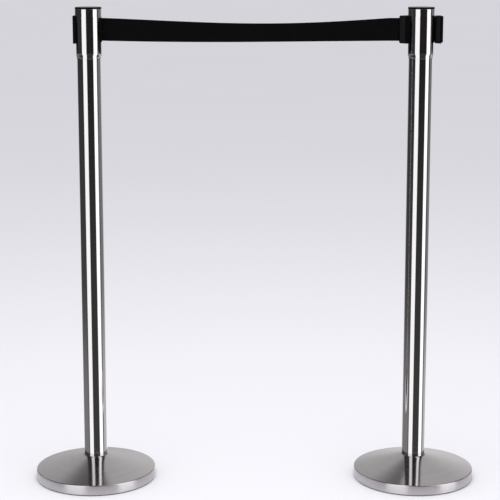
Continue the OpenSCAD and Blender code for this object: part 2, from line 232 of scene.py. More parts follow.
class Nodes:
    """A short way to build a node tree."""

    def __init__(self, tree):
        self.tree = tree

    def add(self, kind, inputs=(), **settings):
        """A node with its settings; each input is linked to a socket or set to a value."""
        node = self.tree.nodes.new(kind)
        for name, value in settings.items():
            setattr(node, name, value)
        for key, value in dict(inputs).items():
            if isinstance(value, bpy.types.NodeSocket):
                self.tree.links.new(value, node.inputs[key])
            else:
                node.inputs[key].default_value = value
        return node

    def math(self, operation, a, b=0.0):
        return self.add("ShaderNodeMath", {0: a, 1: b}, operation=operation).outputs[0]

    def ramp(self, value, low, high, to_low=0.0, to_high=1.0, smooth=False):
        """value mapped from low..high to to_low..to_high, held beyond."""
        kind = "SMOOTHSTEP" if smooth else "LINEAR"
        return self.add("ShaderNodeMapRange", {0: value, 1: low, 2: high, 3: to_low, 4: to_high},
                        interpolation_type=kind).outputs[0]

    def position(self):
        """Object coordinates, and their three parts."""
        coordinates = self.add("ShaderNodeTexCoord").outputs["Object"]
        return coordinates, self.add("ShaderNodeSeparateXYZ", {0: coordinates}).outputs

    def combine(self, x, y, z):
        return self.add("ShaderNodeCombineXYZ", {0: x, 1: y, 2: z}).outputs[0]

    def noise(self, vector, scale, detail=2.0, roughness=0.5):
        return self.add("ShaderNodeTexNoise", {"Vector": vector, "Scale": scale, "Detail": detail,
                                               "Roughness": roughness}).outputs[0]

    def mix(self, factor, a, b):
        """The colour a, or b where factor is 1."""
        node = self.add("ShaderNodeMix", {0: factor, 6: (*a, 1), 7: (*b, 1)}, data_type="RGBA")
        return node.outputs[2]

    def bump(self, height, distance, strength=1.0, normal=None):
        """A bumped normal, on top of another one if it is given."""
        inputs = {"Height": height, "Distance": distance, "Strength": strength}
        if normal is not None:
            inputs["Normal"] = normal
        return self.add("ShaderNodeBump", inputs).outputs[0]


def material(name, **constants):
    """A new material: its nodes and its shader, with the constants set on the shader."""
    made = bpy.data.materials.new(name)
    made.use_nodes = True
    shader = made.node_tree.nodes["Principled BSDF"]
    for key, value in constants.items():
        shader.inputs[key.replace("_", " ")].default_value = value
    return made, Nodes(made.node_tree), shader


def link(nodes, shader, **sockets):
    """Sockets of the tree feed the shader's inputs of the same names."""
    for key, socket in sockets.items():
        nodes.tree.links.new(socket, shader.inputs[key.replace("_", " ")])


def polished_steel():
    """Mirror-polished tube: hair-fine lengthwise grain, faint waviness and a few handling marks."""
    made, n, shader = material("polished_steel", Metallic=1.0)
    coordinates, (x, y, z) = n.position()
    grain = n.noise(n.combine(n.math("MULTIPLY", x, 2600), n.math("MULTIPLY", y, 2600),
                              n.math("MULTIPLY", z, 9)), 1.0, 3)
    wave = n.noise(coordinates, 7.0, 1)
    marks = n.ramp(n.noise(coordinates, 38.0, 5, 0.65), 0.55, 0.75)
    smear = n.noise(coordinates, 4.5, 3)
    rough = n.math("ADD", n.ramp(grain, 0.3, 0.7, 0.045, 0.085), n.math("MULTIPLY", marks, 0.05))
    colour = n.mix(smear, (0.60, 0.58, 0.585), (0.66, 0.64, 0.648))
    fine = n.bump(grain, 0.000004)
    link(n, shader, Base_Color=colour, Roughness=rough, Normal=n.bump(wave, 0.0002, 0.5, fine))
    return made


def spun_steel():
    """Base cover: the rings left by spinning and polishing on a lathe spread a reflection towards and
    away from the post and keep it sharp sideways. The rim is brushed rougher than the dome."""
    made, n, shader = material("spun_steel", Metallic=1.0, Anisotropic=0.9, Anisotropic_Rotation=0.25)
    coordinates, (x, y, z) = n.position()
    reach = n.math("SQRT", n.math("ADD", n.math("MULTIPLY", x, x), n.math("MULTIPLY", y, y)))
    turn = n.math("ARCTAN2", y, x)
    rings = n.noise(n.combine(n.math("MULTIPLY", reach, 1500), n.math("MULTIPLY", turn, 0.9),
                              n.math("MULTIPLY", z, 1500)), 1.0, 4, 0.6)
    broad = n.noise(n.combine(n.math("MULTIPLY", reach, 90), n.math("MULTIPLY", turn, 1.2), z), 1.0, 2)
    smear = n.noise(coordinates, 9.0, 4)
    rim = n.ramp(z, RIM_Z - 1.5 * MM, RIM_Z - 0.2 * MM, 0.2, 0.0)
    worn = n.math("ADD", n.ramp(rings, 0.3, 0.7, 0.105, 0.135), n.ramp(smear, 0.4, 0.7, 0.0, 0.03))
    colour = n.mix(broad, (0.60, 0.57, 0.585), (0.66, 0.632, 0.65))
    tangent = n.add("ShaderNodeTangent", direction_type="RADIAL", axis="Z").outputs[0]
    link(n, shader, Base_Color=colour, Roughness=n.math("ADD", worn, rim),
         Normal=n.bump(rings, 0.000012, 0.8), Tangent=tangent)
    return made


def black_plastic():
    """Moulded ABS: fine spark texture, slightly uneven gloss, dust in the hollows."""
    made, n, shader = material("black_plastic", IOR=1.5, Specular_IOR_Level=0.08)
    coordinates, _ = n.position()
    spark = n.noise(coordinates, 2600.0, 3, 0.6)
    uneven = n.noise(coordinates, 60.0, 4)
    dust = n.ramp(n.noise(coordinates, 220.0, 6, 0.7), 0.56, 0.75)
    colour = n.mix(n.math("MULTIPLY", dust, 0.35), (0.0028, 0.0028, 0.0032), (0.013, 0.0125, 0.012))
    rough = n.math("ADD", n.ramp(uneven, 0.3, 0.7, 0.24, 0.34), n.math("MULTIPLY", dust, 0.12))
    link(n, shader, Base_Color=colour, Roughness=rough, Normal=n.bump(spark, 0.00003, 0.5))
    return made


def webbing():
    """Black polyester webbing: herringbone twill. Its colour has a painted highlight along the threads'
    tops and painted shade in the grooves between them.
    """
    made, n, shader = material("webbing", Sheen_Weight=0.01, Sheen_Roughness=0.4,
                               Specular_IOR_Level=0.08)
    coordinates, (x, _, z) = n.position()
    chevron = n.math("PINGPONG", z, 3 * MM)
    slope = n.math("ADD", x, n.math("MULTIPLY", chevron, 0.9))
    twill = n.math("SINE", n.math("MULTIPLY", slope, 2 * math.pi / (1.3 * MM)))
    rib = n.math("SINE", n.math("MULTIPLY", z, 2 * math.pi / (0.75 * MM)))
    weave = n.math("ADD", n.math("MULTIPLY", twill, 0.3), n.math("MULTIPLY", rib, 0.2))
    height = n.math("ADD", weave, n.math("MULTIPLY", n.noise(coordinates, 5000.0, 2), 0.5))
    # random patches where the painted highlight on the threads is weaker
    painted_highlight_patches = n.noise(coordinates, 14.0, 4)
    thread = n.ramp(height, 0.0, 0.8)
    # painted highlight and shade: lighter on the raised threads, darker in the grooves
    colour = n.mix(n.math("MULTIPLY", thread, n.ramp(painted_highlight_patches, 0.3, 0.7, 0.5, 1.0)),
                   (0.0010, 0.0010, 0.0012), (0.0050, 0.0050, 0.0058))
    rough = n.ramp(thread, 0.0, 1.0, 0.85, 0.62)
    link(n, shader, Base_Color=colour, Roughness=rough, Normal=n.bump(height, 0.00008, 0.7))
    return made


def plain_metal(name, dark, light, roughness):
    """Fasteners and inner metal parts."""
    made, n, shader = material(name, Metallic=1.0)
    coordinates, _ = n.position()
    cloud = n.noise(coordinates, 160.0, 5, 0.6)
    pits = n.noise(coordinates, 1400.0, 2)
    link(n, shader, Base_Color=n.mix(cloud, dark, light),
         Roughness=n.ramp(cloud, 0.3, 0.7, roughness - 0.07, roughness + 0.07),
         Normal=n.bump(pits, 0.00002, 0.5))
    return made


def cast_iron():
    """Painted casting of the base weight."""
    made, n, shader = material("cast_iron", Metallic=0.4)
    coordinates, _ = n.position()
    grain = n.noise(coordinates, 700.0, 6, 0.7)
    rust = n.ramp(n.noise(coordinates, 45.0, 5, 0.65), 0.58, 0.72)
    link(n, shader, Base_Color=n.mix(rust, (0.045, 0.046, 0.05), (0.12, 0.06, 0.035)),
         Roughness=n.ramp(grain, 0.3, 0.7, 0.6, 0.8), Normal=n.bump(grain, 0.0004, 0.8))
    return made


def rubber():
    """Floor ring: matt rubber with a fine grain."""
    made, n, shader = material("rubber", Specular_IOR_Level=0.3)
    coordinates, _ = n.position()
    grain = n.noise(coordinates, 1800.0, 4, 0.6)
    scuff = n.ramp(n.noise(coordinates, 90.0, 5, 0.7), 0.5, 0.75)
    link(n, shader, Base_Color=n.mix(scuff, (0.018, 0.018, 0.018), (0.06, 0.058, 0.055)),
         Roughness=n.ramp(grain, 0.3, 0.7, 0.75, 0.92), Normal=n.bump(grain, 0.0001, 0.7))
    return made


POLISHED = polished_steel()
SPUN = spun_steel()
PLASTIC = black_plastic()
WEBBING = webbing()
SPRING_STEEL = plain_metal("spring_steel", (0.10, 0.11, 0.13), (0.22, 0.23, 0.26), 0.35)
GROUND_STEEL = plain_metal("ground_steel", (0.50, 0.50, 0.50), (0.62, 0.61, 0.60), 0.25)
ZINC = plain_metal("zinc", (0.42, 0.43, 0.45), (0.58, 0.58, 0.58), 0.40)
BLACK_SCREW = plain_metal("black_screw", (0.02, 0.02, 0.022), (0.05, 0.05, 0.05), 0.45)
IRON = cast_iron()
RUBBER = rubber()


# ------------------------------------------------------------------ one post

def base_cover(side):
    """Spun cover: turned-up lip at the tube, low cone, tight edge and upright rim."""
    low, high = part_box(f"{side}_base_cover")
    edge, guard = 2 * MM, 0.4 * MM
    cone_r, crest = TUBE_R + 3 * MM, high.z - 1 * MM
    slope = math.atan2(crest - RIM_Z, BASE_R - edge - cone_r)
    down = Vector((math.cos(slope), -math.sin(slope)))
    inwards = Vector((-math.sin(slope), -math.cos(slope))) * SHEET
    start = Vector((cone_r, crest))
    bend = arc(BASE_R - edge, RIM_Z - edge, edge, 90 - math.degrees(slope), 0, 8)
    lip = [(0.3, 0.3), (0.6, 0.0), (1.3, 0.1), (1.9, 0.55)]     # mm off the tube, mm below the top
    foot = [(0.0, 0.8), (0.0, 0.4), (0.3, 0.0)]                 # mm in from the rim, mm off the floor
    outer = [Vector((TUBE_R + off * MM, high.z - below * MM)) for off, below in lip]
    outer += [start, start + down * guard, bend[0] - down * guard, *bend, bend[-1] - Vector((0, guard))]
    outer += [Vector((BASE_R - back * MM, low.z + rise * MM)) for back, rise in foot]
    inner = [Vector((BASE_R - SHEET, low.z))]
    inner += arc(BASE_R - edge, RIM_Z - edge, edge - SHEET, 0, 90 - math.degrees(slope), 4)
    inner += [start + inwards, Vector((TUBE_R + 0.3 * MM, crest - 0.4 * MM))]
    bm = bmesh.new()
    lathe(bm, outer + inner, COVER_SEGMENTS)
    cover = piece(f"{side}_base_shell", bm, SPUN, axis_x(side))
    place(cover, POST_BODY[side], "stainless", f"{side}_base_cover")


def tube(side):
    """Straight tube with its end edges broken."""
    low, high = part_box(f"{side}_tube")
    inside = TUBE_R - SHEET
    edge = 0.3 * MM
    outline = rounded([(TUBE_R, low.z, edge), (TUBE_R, high.z, edge), (inside, high.z, edge),
                       (inside, low.z, edge)], 2, guard=0.4 * MM)
    bm = bmesh.new()
    lathe(bm, outline)
    place(piece(f"{side}_post_tube", bm, POLISHED, axis_x(side)), POST_BODY[side], "stainless",
          f"{side}_tube")


def sleeve_radius(z):
    """Outside of the head sleeve: it swells from the tube in an S and then runs straight."""
    swell_h, foot = 12 * MM, TUBE_R + 0.7 * MM
    t = min(max((z - SLEEVE_Z0) / swell_h, 0), 1)
    return foot + (HEAD_R - foot) * t * t * (3 - 2 * t)


def head_sleeve(side):
    """Sleeve with a tall window on +X and on -X. Every layer of the mesh has the same rows: the
    outside, the rounded edge and the inside. grow widens the window where the edge rounds off."""
    edge, margin, clearance = 0.35 * MM, 0.6 * MM, 0.02 * MM
    window_r, window_z0, window_z1 = 18 * MM, POST_TOP - 103 * MM, POST_TOP - 20 * MM
    low_end, high_end = window_z0 + window_r, window_z1 - window_r
    quarter, columns, foot_rows = 16, 44, 8
    layers = [(edge * (1 - math.cos(a)), edge * (1 - math.sin(a)))
              for a in (math.radians(30 * k) for k in range(4))] + [(SHEET, 0.0)]

    def row_heights(grow):
        """Each row's height and half the width of the window there."""
        r = window_r + grow
        bends = [k * math.pi / 2 / quarter for k in range(quarter + 1)]
        foot = [SLEEVE_Z0 + margin + (window_z0 - SLEEVE_Z0 - 2 * margin) * k / foot_rows
                for k in range(foot_rows + 1)]
        return ([(SLEEVE_Z0 + grow, 0.0)] + [(z, 0.0) for z in foot]
                + [(low_end - r * math.cos(a), r * math.sin(a)) for a in bends]
                + [(high_end + r * math.sin(a), r * math.cos(a)) for a in bends]
                + [(SLEEVE_Z1 - 1 * MM, 0.0), (SLEEVE_Z1 - grow, 0.0)])

    bm = bmesh.new()
    grid = []
    for depth, grow in layers:
        layer = []
        for z, half in row_heights(grow):
            outside = sleeve_radius(z)
            r = max(outside - depth, TUBE_R + clearance)
            skip = math.asin(half / outside)
            closed = half < 1e-9
            front, back = [], []
            for way, panel in ((-1, front), (1, back)):
                for k in range(columns + 1):
                    if way == 1 and closed and k in (0, columns):
                        panel.append(front[k])
                        continue
                    a = way * (skip + (math.pi - 2 * skip) * k / columns)
                    panel.append(bm.verts.new((r * math.cos(a), r * math.sin(a), z)))
            layer.append((front, back))
        grid.append(layer)

    def strip(near, far):
        """Faces between two open rows of vertices."""
        for k in range(columns):
            bm.faces.new((near[k], near[k + 1], far[k + 1], far[k]))

    rows = len(grid[0])
    for layer in (grid[0], grid[-1]):
        for i in range(rows - 1):
            for near, far in zip(layer[i], layer[i + 1]):
                strip(near, far)
    for outer, inner in zip(grid, grid[1:]):
        for i in (0, rows - 1):
            for near, far in zip(outer[i], inner[i]):
                strip(near, far)
        for i in range(rows - 1):
            if outer[i][0][0] is outer[i][1][0] and outer[i + 1][0][0] is outer[i + 1][1][0]:
                continue        # both rows are closed, so the window has no edge here
            for panel in (0, 1):
                for k in (0, columns):
                    bm.faces.new((outer[i][panel][k], outer[i + 1][panel][k],
                                  inner[i + 1][panel][k], inner[i][panel][k]))
    sleeve = piece(f"{side}_head_shell", bm, POLISHED, axis_x(side))
    place(sleeve, POST_BODY[side], "stainless", f"{side}_head_sleeve")


def head_cap(side):
    """Cap with a shallow crown, a rounded edge and the skirt that plugs the sleeve."""
    low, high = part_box(f"{side}_head_cap")
    seat = SLEEVE_Z1 + 0.05 * MM
    skirt, edge = HEAD_R - 1.25 * MM, 0.3 * MM
    skirt_inside = skirt - 2 * MM
    corners = [(0, high.z, 0), (HEAD_R - 6 * MM, high.z, 8 * MM), (HEAD_R, high.z - 0.25 * MM, 1.1 * MM),
               (HEAD_R, seat, 0.15 * MM), (skirt, seat, 0), (skirt, low.z, edge),
               (skirt_inside, low.z, edge), (skirt_inside, seat, 0), (0, seat, 0)]
    bm = bmesh.new()
    lathe(bm, rounded(corners, 6))
    place(piece(f"{side}_cap", bm, PLASTIC, axis_x(side)), POST_BODY[side], "black_plastic",
          f"{side}_head_cap")


def bead(bm, x, y, z0, z1, r, segments=24):
    """Upright round bead with domed ends."""
    made = bmesh.new()
    lathe(made, [(0, z0)] + [(p.x, p.y) for p in arc(0, z0 + r, r, -70, 0, 4)]
          + [(p.x, p.y) for p in arc(0, z1 - r, r, 0, 70, 4)] + [(0, z1)], segments)
    bmesh.ops.translate(made, verts=made.verts, vec=(x, y, 0))
    scratch = bpy.data.meshes.new("bead")
    made.to_mesh(scratch)
    made.free()
    bm.from_mesh(scratch)
    bpy.data.meshes.remove(scratch)


def cassette_housing(side):
    """Drum that shows in the windows, with the belt's outlet between two beads on +X."""
    low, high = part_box(f"{side}_cassette_housing")
    wall, top = 2.1 * MM, 2.5 * MM
    bevel_h, bevel = 0.6 * MM, 0.5 * MM
    outlet_z0, outlet_z1 = BELT_Z - MOUTH_HALF, BELT_Z + MOUTH_HALF
    lip_y = GAP_HALF + LIP_R
    columns = 96
    skip = math.asin(lip_y / HOUSING_R)
    angles = [skip + (2 * math.pi - 2 * skip) * k / columns for k in range(columns + 1)]
    bm = bmesh.new()

    def shell(rows):
        """A ring of vertices at each (height, radius), from one side of the outlet to the other."""
        return [[bm.verts.new((r * math.cos(a), r * math.sin(a), z)) for a in angles] for z, r in rows]

    heights = [low.z, outlet_z0, outlet_z1, high.z - bevel_h]
    outside = shell([(z, HOUSING_R) for z in heights] + [(high.z, HOUSING_R - bevel)])
    inside = shell([(min(z, high.z - top), HOUSING_R - wall) for z in heights])
    for rings in (outside, inside):
        for i in range(len(rings) - 1):
            sides = columns if i == 1 else columns + 1      # open between rows 1 and 2
            for k in range(sides):
                j = (k + 1) % (columns + 1)
                bm.faces.new((rings[i][k], rings[i][j], rings[i + 1][j], rings[i + 1][k]))
    for k in range(columns + 1):
        j = (k + 1) % (columns + 1)
        bm.faces.new((outside[0][k], outside[0][j], inside[0][j], inside[0][k]))
    for k in (0, columns):
        bm.faces.new((outside[1][k], outside[2][k], inside[2][k], inside[1][k]))
    for i in (1, 2):
        bm.faces.new((outside[i][columns], outside[i][0], inside[i][0], inside[i][columns]))
    bm.faces.new(outside[-1])
    bm.faces.new(inside[-1])
    for way in (-1, 1):
        bead(bm, LIP_X, way * lip_y, outlet_z0 - 2 * MM, outlet_z1, LIP_R)
    place(piece(f"{side}_cassette_drum", bm, PLASTIC, axis_x(side)), POST_BODY[side],
          "black_plastic", f"{side}_cassette_housing")


def receiver(side):
    """Saddle on -X with the T-slot for a neighbour's clip, open at the top."""
    low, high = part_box(f"{side}_receiver")
    x0 = axis_x(side)
    face = low.x - x0
    half = (high.y - low.y) / 2
    lips, slot_floor = 1.4 * MM, -HEAD_R - 0.1 * MM
    slot_half, neck_half = 11.3 * MM, 7.3 * MM
    seat_r = HEAD_R + 0.08 * MM
    flank = -math.sqrt(seat_r ** 2 - half ** 2)
    steps = 16
    seat = [(-seat_r * math.cos(a), seat_r * math.sin(a)) for a in
            (math.asin(half / seat_r) * (1 - 2 * k / steps) for k in range(1, steps))]
    outline = [(face, neck_half), (face, half), (flank, half), *seat, (flank, -half), (face, -half),
               (face, -neck_half)]
    path = [(face + lips, -neck_half), (face + lips, -slot_half), (slot_floor, -slot_half),
            (slot_floor, slot_half), (face + lips, slot_half), (face + lips, neck_half)]
    slot_z0 = low.z + 2 * MM
    rows = [(z, outline) for z in (low.z, slot_z0, high.z)]
    bm = bmesh.new()
    column(bm, rows, [(len(outline) - 1, path, 1, 2)])
    soften(bm, 0.35 * MM)
    saddle = keep_flats_flat(piece(f"{side}_receiver_block", bm, PLASTIC, x0))
    place(saddle, POST_BODY[side], "black_plastic", f"{side}_receiver")


def screw_heads(side):
    """Two countersunk heads with a cross recess, on the floor of the receiver's slot."""
    head, arm, arm_half = 2.3 * MM, 1.25 * MM, 0.32 * MM
    face = -HEAD_R - 0.05 * MM
    count = 48
    bm = bmesh.new()

    def cross(a):
        """Reach of the recess at an angle."""
        c, s = abs(math.cos(a)), abs(math.sin(a))
        along, across = max(c, s), max(min(c, s), 1e-6)
        return min(arm / along, arm_half / across)

    # share of the head's radius, or share of the recess's reach, and depth in mm: shank to recess
    levels = [(0.6, None, 3.2), (0.6, None, 1.3), (0.98, None, 0.15), (0.93, None, 0.0),
              (None, 1.0, 0.0), (None, 0.75, 1.0)]
    apart = 34 * MM
    for z in (BELT_Z - apart / 2, BELT_Z + apart / 2):
        rings = []
        for share, recess, depth in levels:
            ring = []
            for k in range(count):
                a = 2 * math.pi * (k + 0.5) / count
                r = head * share if recess is None else cross(a) * recess
                ring.append(bm.verts.new((face + depth * MM, r * math.cos(a), z + r * math.sin(a))))
            rings.append(ring)
        loft(bm, rings)
    place(piece(f"{side}_receiver_screw_heads", bm, BLACK_SCREW, axis_x(side)), POST_BODY[side],
          "black_screw", f"{side}_receiver_screws")


# ------------------------------------------------------------------ belt end clip

def clip(side):
    """Body with the belt's mouth, flange and T-rail. Its belt side is at the node's lowest x."""
    low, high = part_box(f"{side}_clip_body")
    corner, edge = 3 * MM, 0.6 * MM
    nose_x, nose_y = 1.2 * MM, 1.6 * MM
    body, flange = 11 * MM, 13.6 * MM
    mouth_half, back_half, flange_half = 6.5 * MM, 10.5 * MM, (high.y - low.y) / 2
    taper = (back_half - mouth_half) / (body - nose_x)
    slot_half, pocket_x = 1.6 * MM, 8.5 * MM
    rail_neck, rail_half = 6.9 * MM, 10.9 * MM
    rail_x, depth = 15.4 * MM, high.x - low.x

    def outline(set_back):
        """Section with its belt side set back, as the rounded corners need it."""
        cheek = mouth_half + set_back * taper
        half = [(set_back, slot_half), (set_back, cheek - nose_y), (set_back + nose_x, cheek),
                (body, back_half), (body, flange_half - edge), (body + edge, flange_half),
                (flange - edge, flange_half), (flange, flange_half - edge), (flange, rail_neck)]
        return half + [(x, -y) for x, y in reversed(half)]

    steps = 6
    bends = [k * math.pi / 2 / steps for k in range(steps + 1)]
    low_rows = [(low.z + corner * (1 - math.cos(a)), corner * (1 - math.sin(a))) for a in bends]
    high_rows = [(high.z - z + low.z, back) for z, back in reversed(low_rows)]
    slot_rows = [(BELT_Z - MOUTH_HALF, 0.0), (BELT_Z + MOUTH_HALF, 0.0)]
    rail_rows = [low.z + 2.2 * MM, high.z - 1 * MM]
    levels = sorted(low_rows + slot_rows + high_rows
                    + [(z, corner - math.sqrt(corner ** 2 - (corner - min(z - low.z, high.z - z)) ** 2))
                       for z in rail_rows])
    rows = [(z, outline(back)) for z, back in levels]
    heights = [z for z, _ in levels]
    mouth = [heights.index(z) for z, _ in slot_rows]
    rail = [heights.index(z) for z in rail_rows]
    pocket = [(pocket_x, -slot_half), (pocket_x, slot_half)]
    tee = [(rail_x, rail_neck), (rail_x, rail_half), (depth, rail_half), (depth, -rail_half),
           (rail_x, -rail_half), (rail_x, -rail_neck)]
    bm = bmesh.new()
    count = len(rows[0][1])
    column(bm, rows, [(count // 2 - 1, tee, *rail), (count - 1, pocket, *mouth)])
    soften(bm, 0.3 * MM)
    block = keep_flats_flat(piece(f"{side}_clip_block", bm, PLASTIC, low.x))
    place(block, f"{side}_clip", "black_plastic", f"{side}_clip_body")


# ------------------------------------------------------------------ belt

LAYER_Y = BELT_T / 2 + 0.03 * MM                # middle of one of two layers lying together
OUTLET_Y = GAP_HALF - BELT_T / 2 - 0.15 * MM    # the belt hugs one bead of the outlet
PIN_X, PIN_R = 6.5 * MM, 2 * MM                 # the pin, from the clip's belt side
HEM = 20 * MM


def feed(axis, wound_r):
    """Stations from the webbing wound about axis to one lip of the outlet and round it. A station is
    x, y, z, the heading and the lean."""
    r = wound_r + 0.3 * MM + BELT_T / 2
    lip_y = GAP_HALF + LIP_R
    bend = lip_y - OUTLET_Y
    touch = math.atan2(lip_y, LIP_X) + math.acos((r + bend) / math.hypot(LIP_X, lip_y))
    stations = [(axis + r * math.cos(touch), r * math.sin(touch), BELT_Z, touch - math.pi / 2, 0.0)]
    steps = 6
    for i in range(steps + 1):
        a = touch + (math.pi / 2 - touch) * i / steps
        stations.append((axis + LIP_X - bend * math.cos(a), lip_y - bend * math.sin(a), BELT_Z,
                         a - math.pi / 2, 0.0))
    return stations


def pin_loop(x0, hem):
    """Stations round the pin of the clip whose belt side is at x0, and back out by hem."""
    px, loop_r = x0 + PIN_X, PIN_R + 0.12 * MM + BELT_T / 2
    joined_x, parting_x = px - 5 * MM, px - 3.9 * MM
    parting_y, parting = LAYER_Y + 0.15 * MM, math.radians(14)
    stations = [(joined_x, LAYER_Y, BELT_Z, 0.0, 0.0), (parting_x, parting_y, BELT_Z, parting, 0.0)]
    steps, reach = 20, 130
    for k in range(steps + 1):
        a = math.radians(reach - 2 * reach * k / steps)
        stations.append((px + loop_r * math.cos(a), loop_r * math.sin(a), BELT_Z, a - math.pi / 2, 0.0))
    stations += [(parting_x, -parting_y, BELT_Z, -math.pi - parting, 0.0),
                 (joined_x, -LAYER_Y, BELT_Z, -math.pi, 0.0),
                 (joined_x - hem, -LAYER_Y, BELT_Z, -math.pi, 0.0)]
    return stations


def span(x0, x1, first, last, steps):
    """Stations of the hanging belt between two shares of its way from x0 to x1. Its lowest point
    lies just past halfway (1.08) and its greatest lean further on (1.35), with a broad top (0.6)."""
    sag, most_lean = 7 * MM, math.radians(33)
    stations = []
    for i in range(steps + 1):
        t = first + (last - first) * i / steps
        hang = math.sin(math.pi * t ** 1.08)
        lean = max(math.sin(math.pi * t ** 1.35), 0.0)
        stations.append((x0 + (x1 - x0) * t, OUTLET_Y + (LAYER_Y - OUTLET_Y) * t,
                         BELT_Z - sag * hang, 0.0, most_lean * lean ** 0.6))
    return stations


def webbing_section():
    """Section of the webbing as (place across it, offset from its middle): fine lengthwise ribs and a
    thin, rounded selvedge on either edge."""
    ribs, samples = 30, 4
    half, edge, rib, tip_r = BELT_T / 2, 0.5 * MM, 0.045 * MM, 0.12 * MM
    count = ribs * samples
    face = []
    for k in range(count + 1):
        v = -1 + 2 * k / count
        swell = rib * (0.5 + 0.5 * math.cos(2 * math.pi * k / samples))
        face.append((v * (BELT_W / 2 - edge), half - rib + swell))
    face[0] = (face[0][0], half * 0.8)
    face[-1] = (face[-1][0], half * 0.8)
    tip = [(BELT_W / 2 - tip_r, half * 0.55), (BELT_W / 2, 0.0), (BELT_W / 2 - tip_r, -half * 0.55)]
    return face + tip + [(v, -h) for v, h in reversed(face)] + [(-v, -h) for v, h in tip]


def ribbon(name, stations):
    """Webbing swept along stations."""
    section = webbing_section()
    bm = bmesh.new()
    rings = []
    for x, y, z, heading, lean in stations:
        across = Vector((-math.sin(heading), math.cos(heading), 0))
        up = Vector((0, 0, math.cos(lean))) - across * math.sin(lean)
        out = across * math.cos(lean) + Vector((0, 0, math.sin(lean)))
        rings.append([bm.verts.new(Vector((x, y, z)) + up * v + out * h) for v, h in section])
    loft(bm, rings)
    return piece(name, bm, WEBBING, sharp=50)


def way_length(stations):
    """Length along the middles of the stations."""
    return sum((Vector(b[:3]) - Vector(a[:3])).length for a, b in zip(stations, stations[1:]))


def stitches(name, x_near, x_far, y):
    """Box of thread that holds the hem, on both faces of the doubled belt."""
    thread, length, pitch = 0.22 * MM, 2.0 * MM, 2.7 * MM
    margin, second_row = 3.5 * MM, 3.5 * MM
    half = BELT_W / 2 - margin
    places = []
    rows = int(2 * half / pitch)
    for x in (x_near, x_near + second_row, x_far):
        places += [((x, BELT_Z - half + pitch * (k + 0.5)), True) for k in range(rows)]
    steps = int((x_far - x_near) / pitch)
    for z in (BELT_Z - half, BELT_Z + half):
        places += [((x_near + pitch * (k + 0.5), z), False) for k in range(steps)]
    bm = bmesh.new()
    rounds, proud = 8, 0.05 * MM
    for (x, z), upright in places:
        for way in (-1, 1):
            rings = []
            for t in (-1, -0.8, -0.35, 0.35, 0.8, 1):
                swell = thread * math.sqrt(max(1 - t ** 4, 0.04))
                ring = []
                for k in range(rounds):
                    a = 2 * math.pi * k / rounds
                    side, rise = swell * math.cos(a), swell * math.sin(a)
                    along = t * length / 2
                    spot = (x + side, z + along) if upright else (x + along, z + side)
                    ring.append(bm.verts.new((spot[0], way * (y + proud) + rise, spot[1])))
                rings.append(ring)
            loft(bm, rings)
    return piece(name, bm, WEBBING)


def stretched_belt():
    """The left post's belt, out and hooked to the right post. It is one length of webbing, drawn as
    two pieces that meet end to end: one from the outlet across most of the span, one on round the clip's
    pin."""
    clip_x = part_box("left_clip_body")[0].x
    wound_r = radius("left_wound_belt")
    x0 = axis_x("left") + LIP_X + 3 * MM
    x1 = clip_x - HEM - 2 * MM
    meet = 0.86
    main = feed(axis_x("left"), wound_r) + span(x0, x1, 0.0, meet, 64)
    end = span(x0, x1, meet, 1.0, 24) + pin_loop(clip_x, HEM)
    main_piece = ribbon("belt_span_webbing", main)
    end_piece = ribbon("belt_end_webbing", end)
    sewn = stitches("belt_end_stitches", clip_x - HEM + 4 * MM, clip_x - 3 * MM, 2 * LAYER_Y)
    place(sewn, "left_clip", "webbing")
    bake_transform(main_piece)
    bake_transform(end_piece)
    for obj in (main_piece, end_piece):
        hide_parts("belt_span")
    way_length(main)
    way_length(end)


def parked_belt():
    """The short leader of the right post's belt, between its outlet and its parked clip."""
    clip_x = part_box("right_clip_body")[0].x
    stations = feed(axis_x("right"), radius("right_wound_belt"))
    loop = pin_loop(clip_x, 3 * MM)
    first, last = stations[-1], loop[0]
    steps = 40
    stations += [(first[0] + (last[0] - first[0]) * k / steps,
                  first[1] + (last[1] - first[1]) * k / steps, BELT_Z, 0.0, 0.0)
                 for k in range(1, steps)]
    stations += loop
    leader = ribbon("right_leader_webbing", stations)
    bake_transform(leader)
    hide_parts("right_belt")
    way_length(stations)


# ------------------------------------------------------------------ CAD nodes that stay

def finish_cad_nodes():
    """Materials of the inner parts, which keep their CAD shapes."""
    kinds = {"base_weight": IRON, "floor_ring": RUBBER, "base_bolt": ZINC, "base_washer": ZINC,
             "tube_plug": ZINC, "housing_screws": BLACK_SCREW, "spring_cup": PLASTIC,
             "spring": SPRING_STEEL, "axle": GROUND_STEEL, "thrust_washer": GROUND_STEEL,
             "spool": PLASTIC, "wound_belt": WEBBING, "clip_pin": GROUND_STEEL}
    for side in POST_BODY:
        for kind, finish in kinds.items():
            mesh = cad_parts[f"{side}_{kind}"].data
            mesh.materials.clear()
            mesh.materials.append(finish)


# ------------------------------------------------------------------ stage, light, camera

def floor_finish():
    """Matt studio paper with a faint mottle."""
    made, n, shader = material("floor_paper", Specular_IOR_Level=0.0)
    coordinates, _ = n.position()
    cloud = n.noise(coordinates, 0.7, 3)
    link(n, shader, Base_Color=n.mix(cloud, (0.80, 0.80, 0.81), (0.82, 0.82, 0.83)),
         Roughness=n.ramp(cloud, 0.3, 0.7, 0.9, 1.0))
    return made


def flat_sheet(name, outline, z, finish):
    """A flat piece of the stage at height z."""
    bm = bmesh.new()
    bm.faces.new([bm.verts.new((x, y, z)) for x, y in outline])
    obj = piece(name, bm, finish)
    return obj


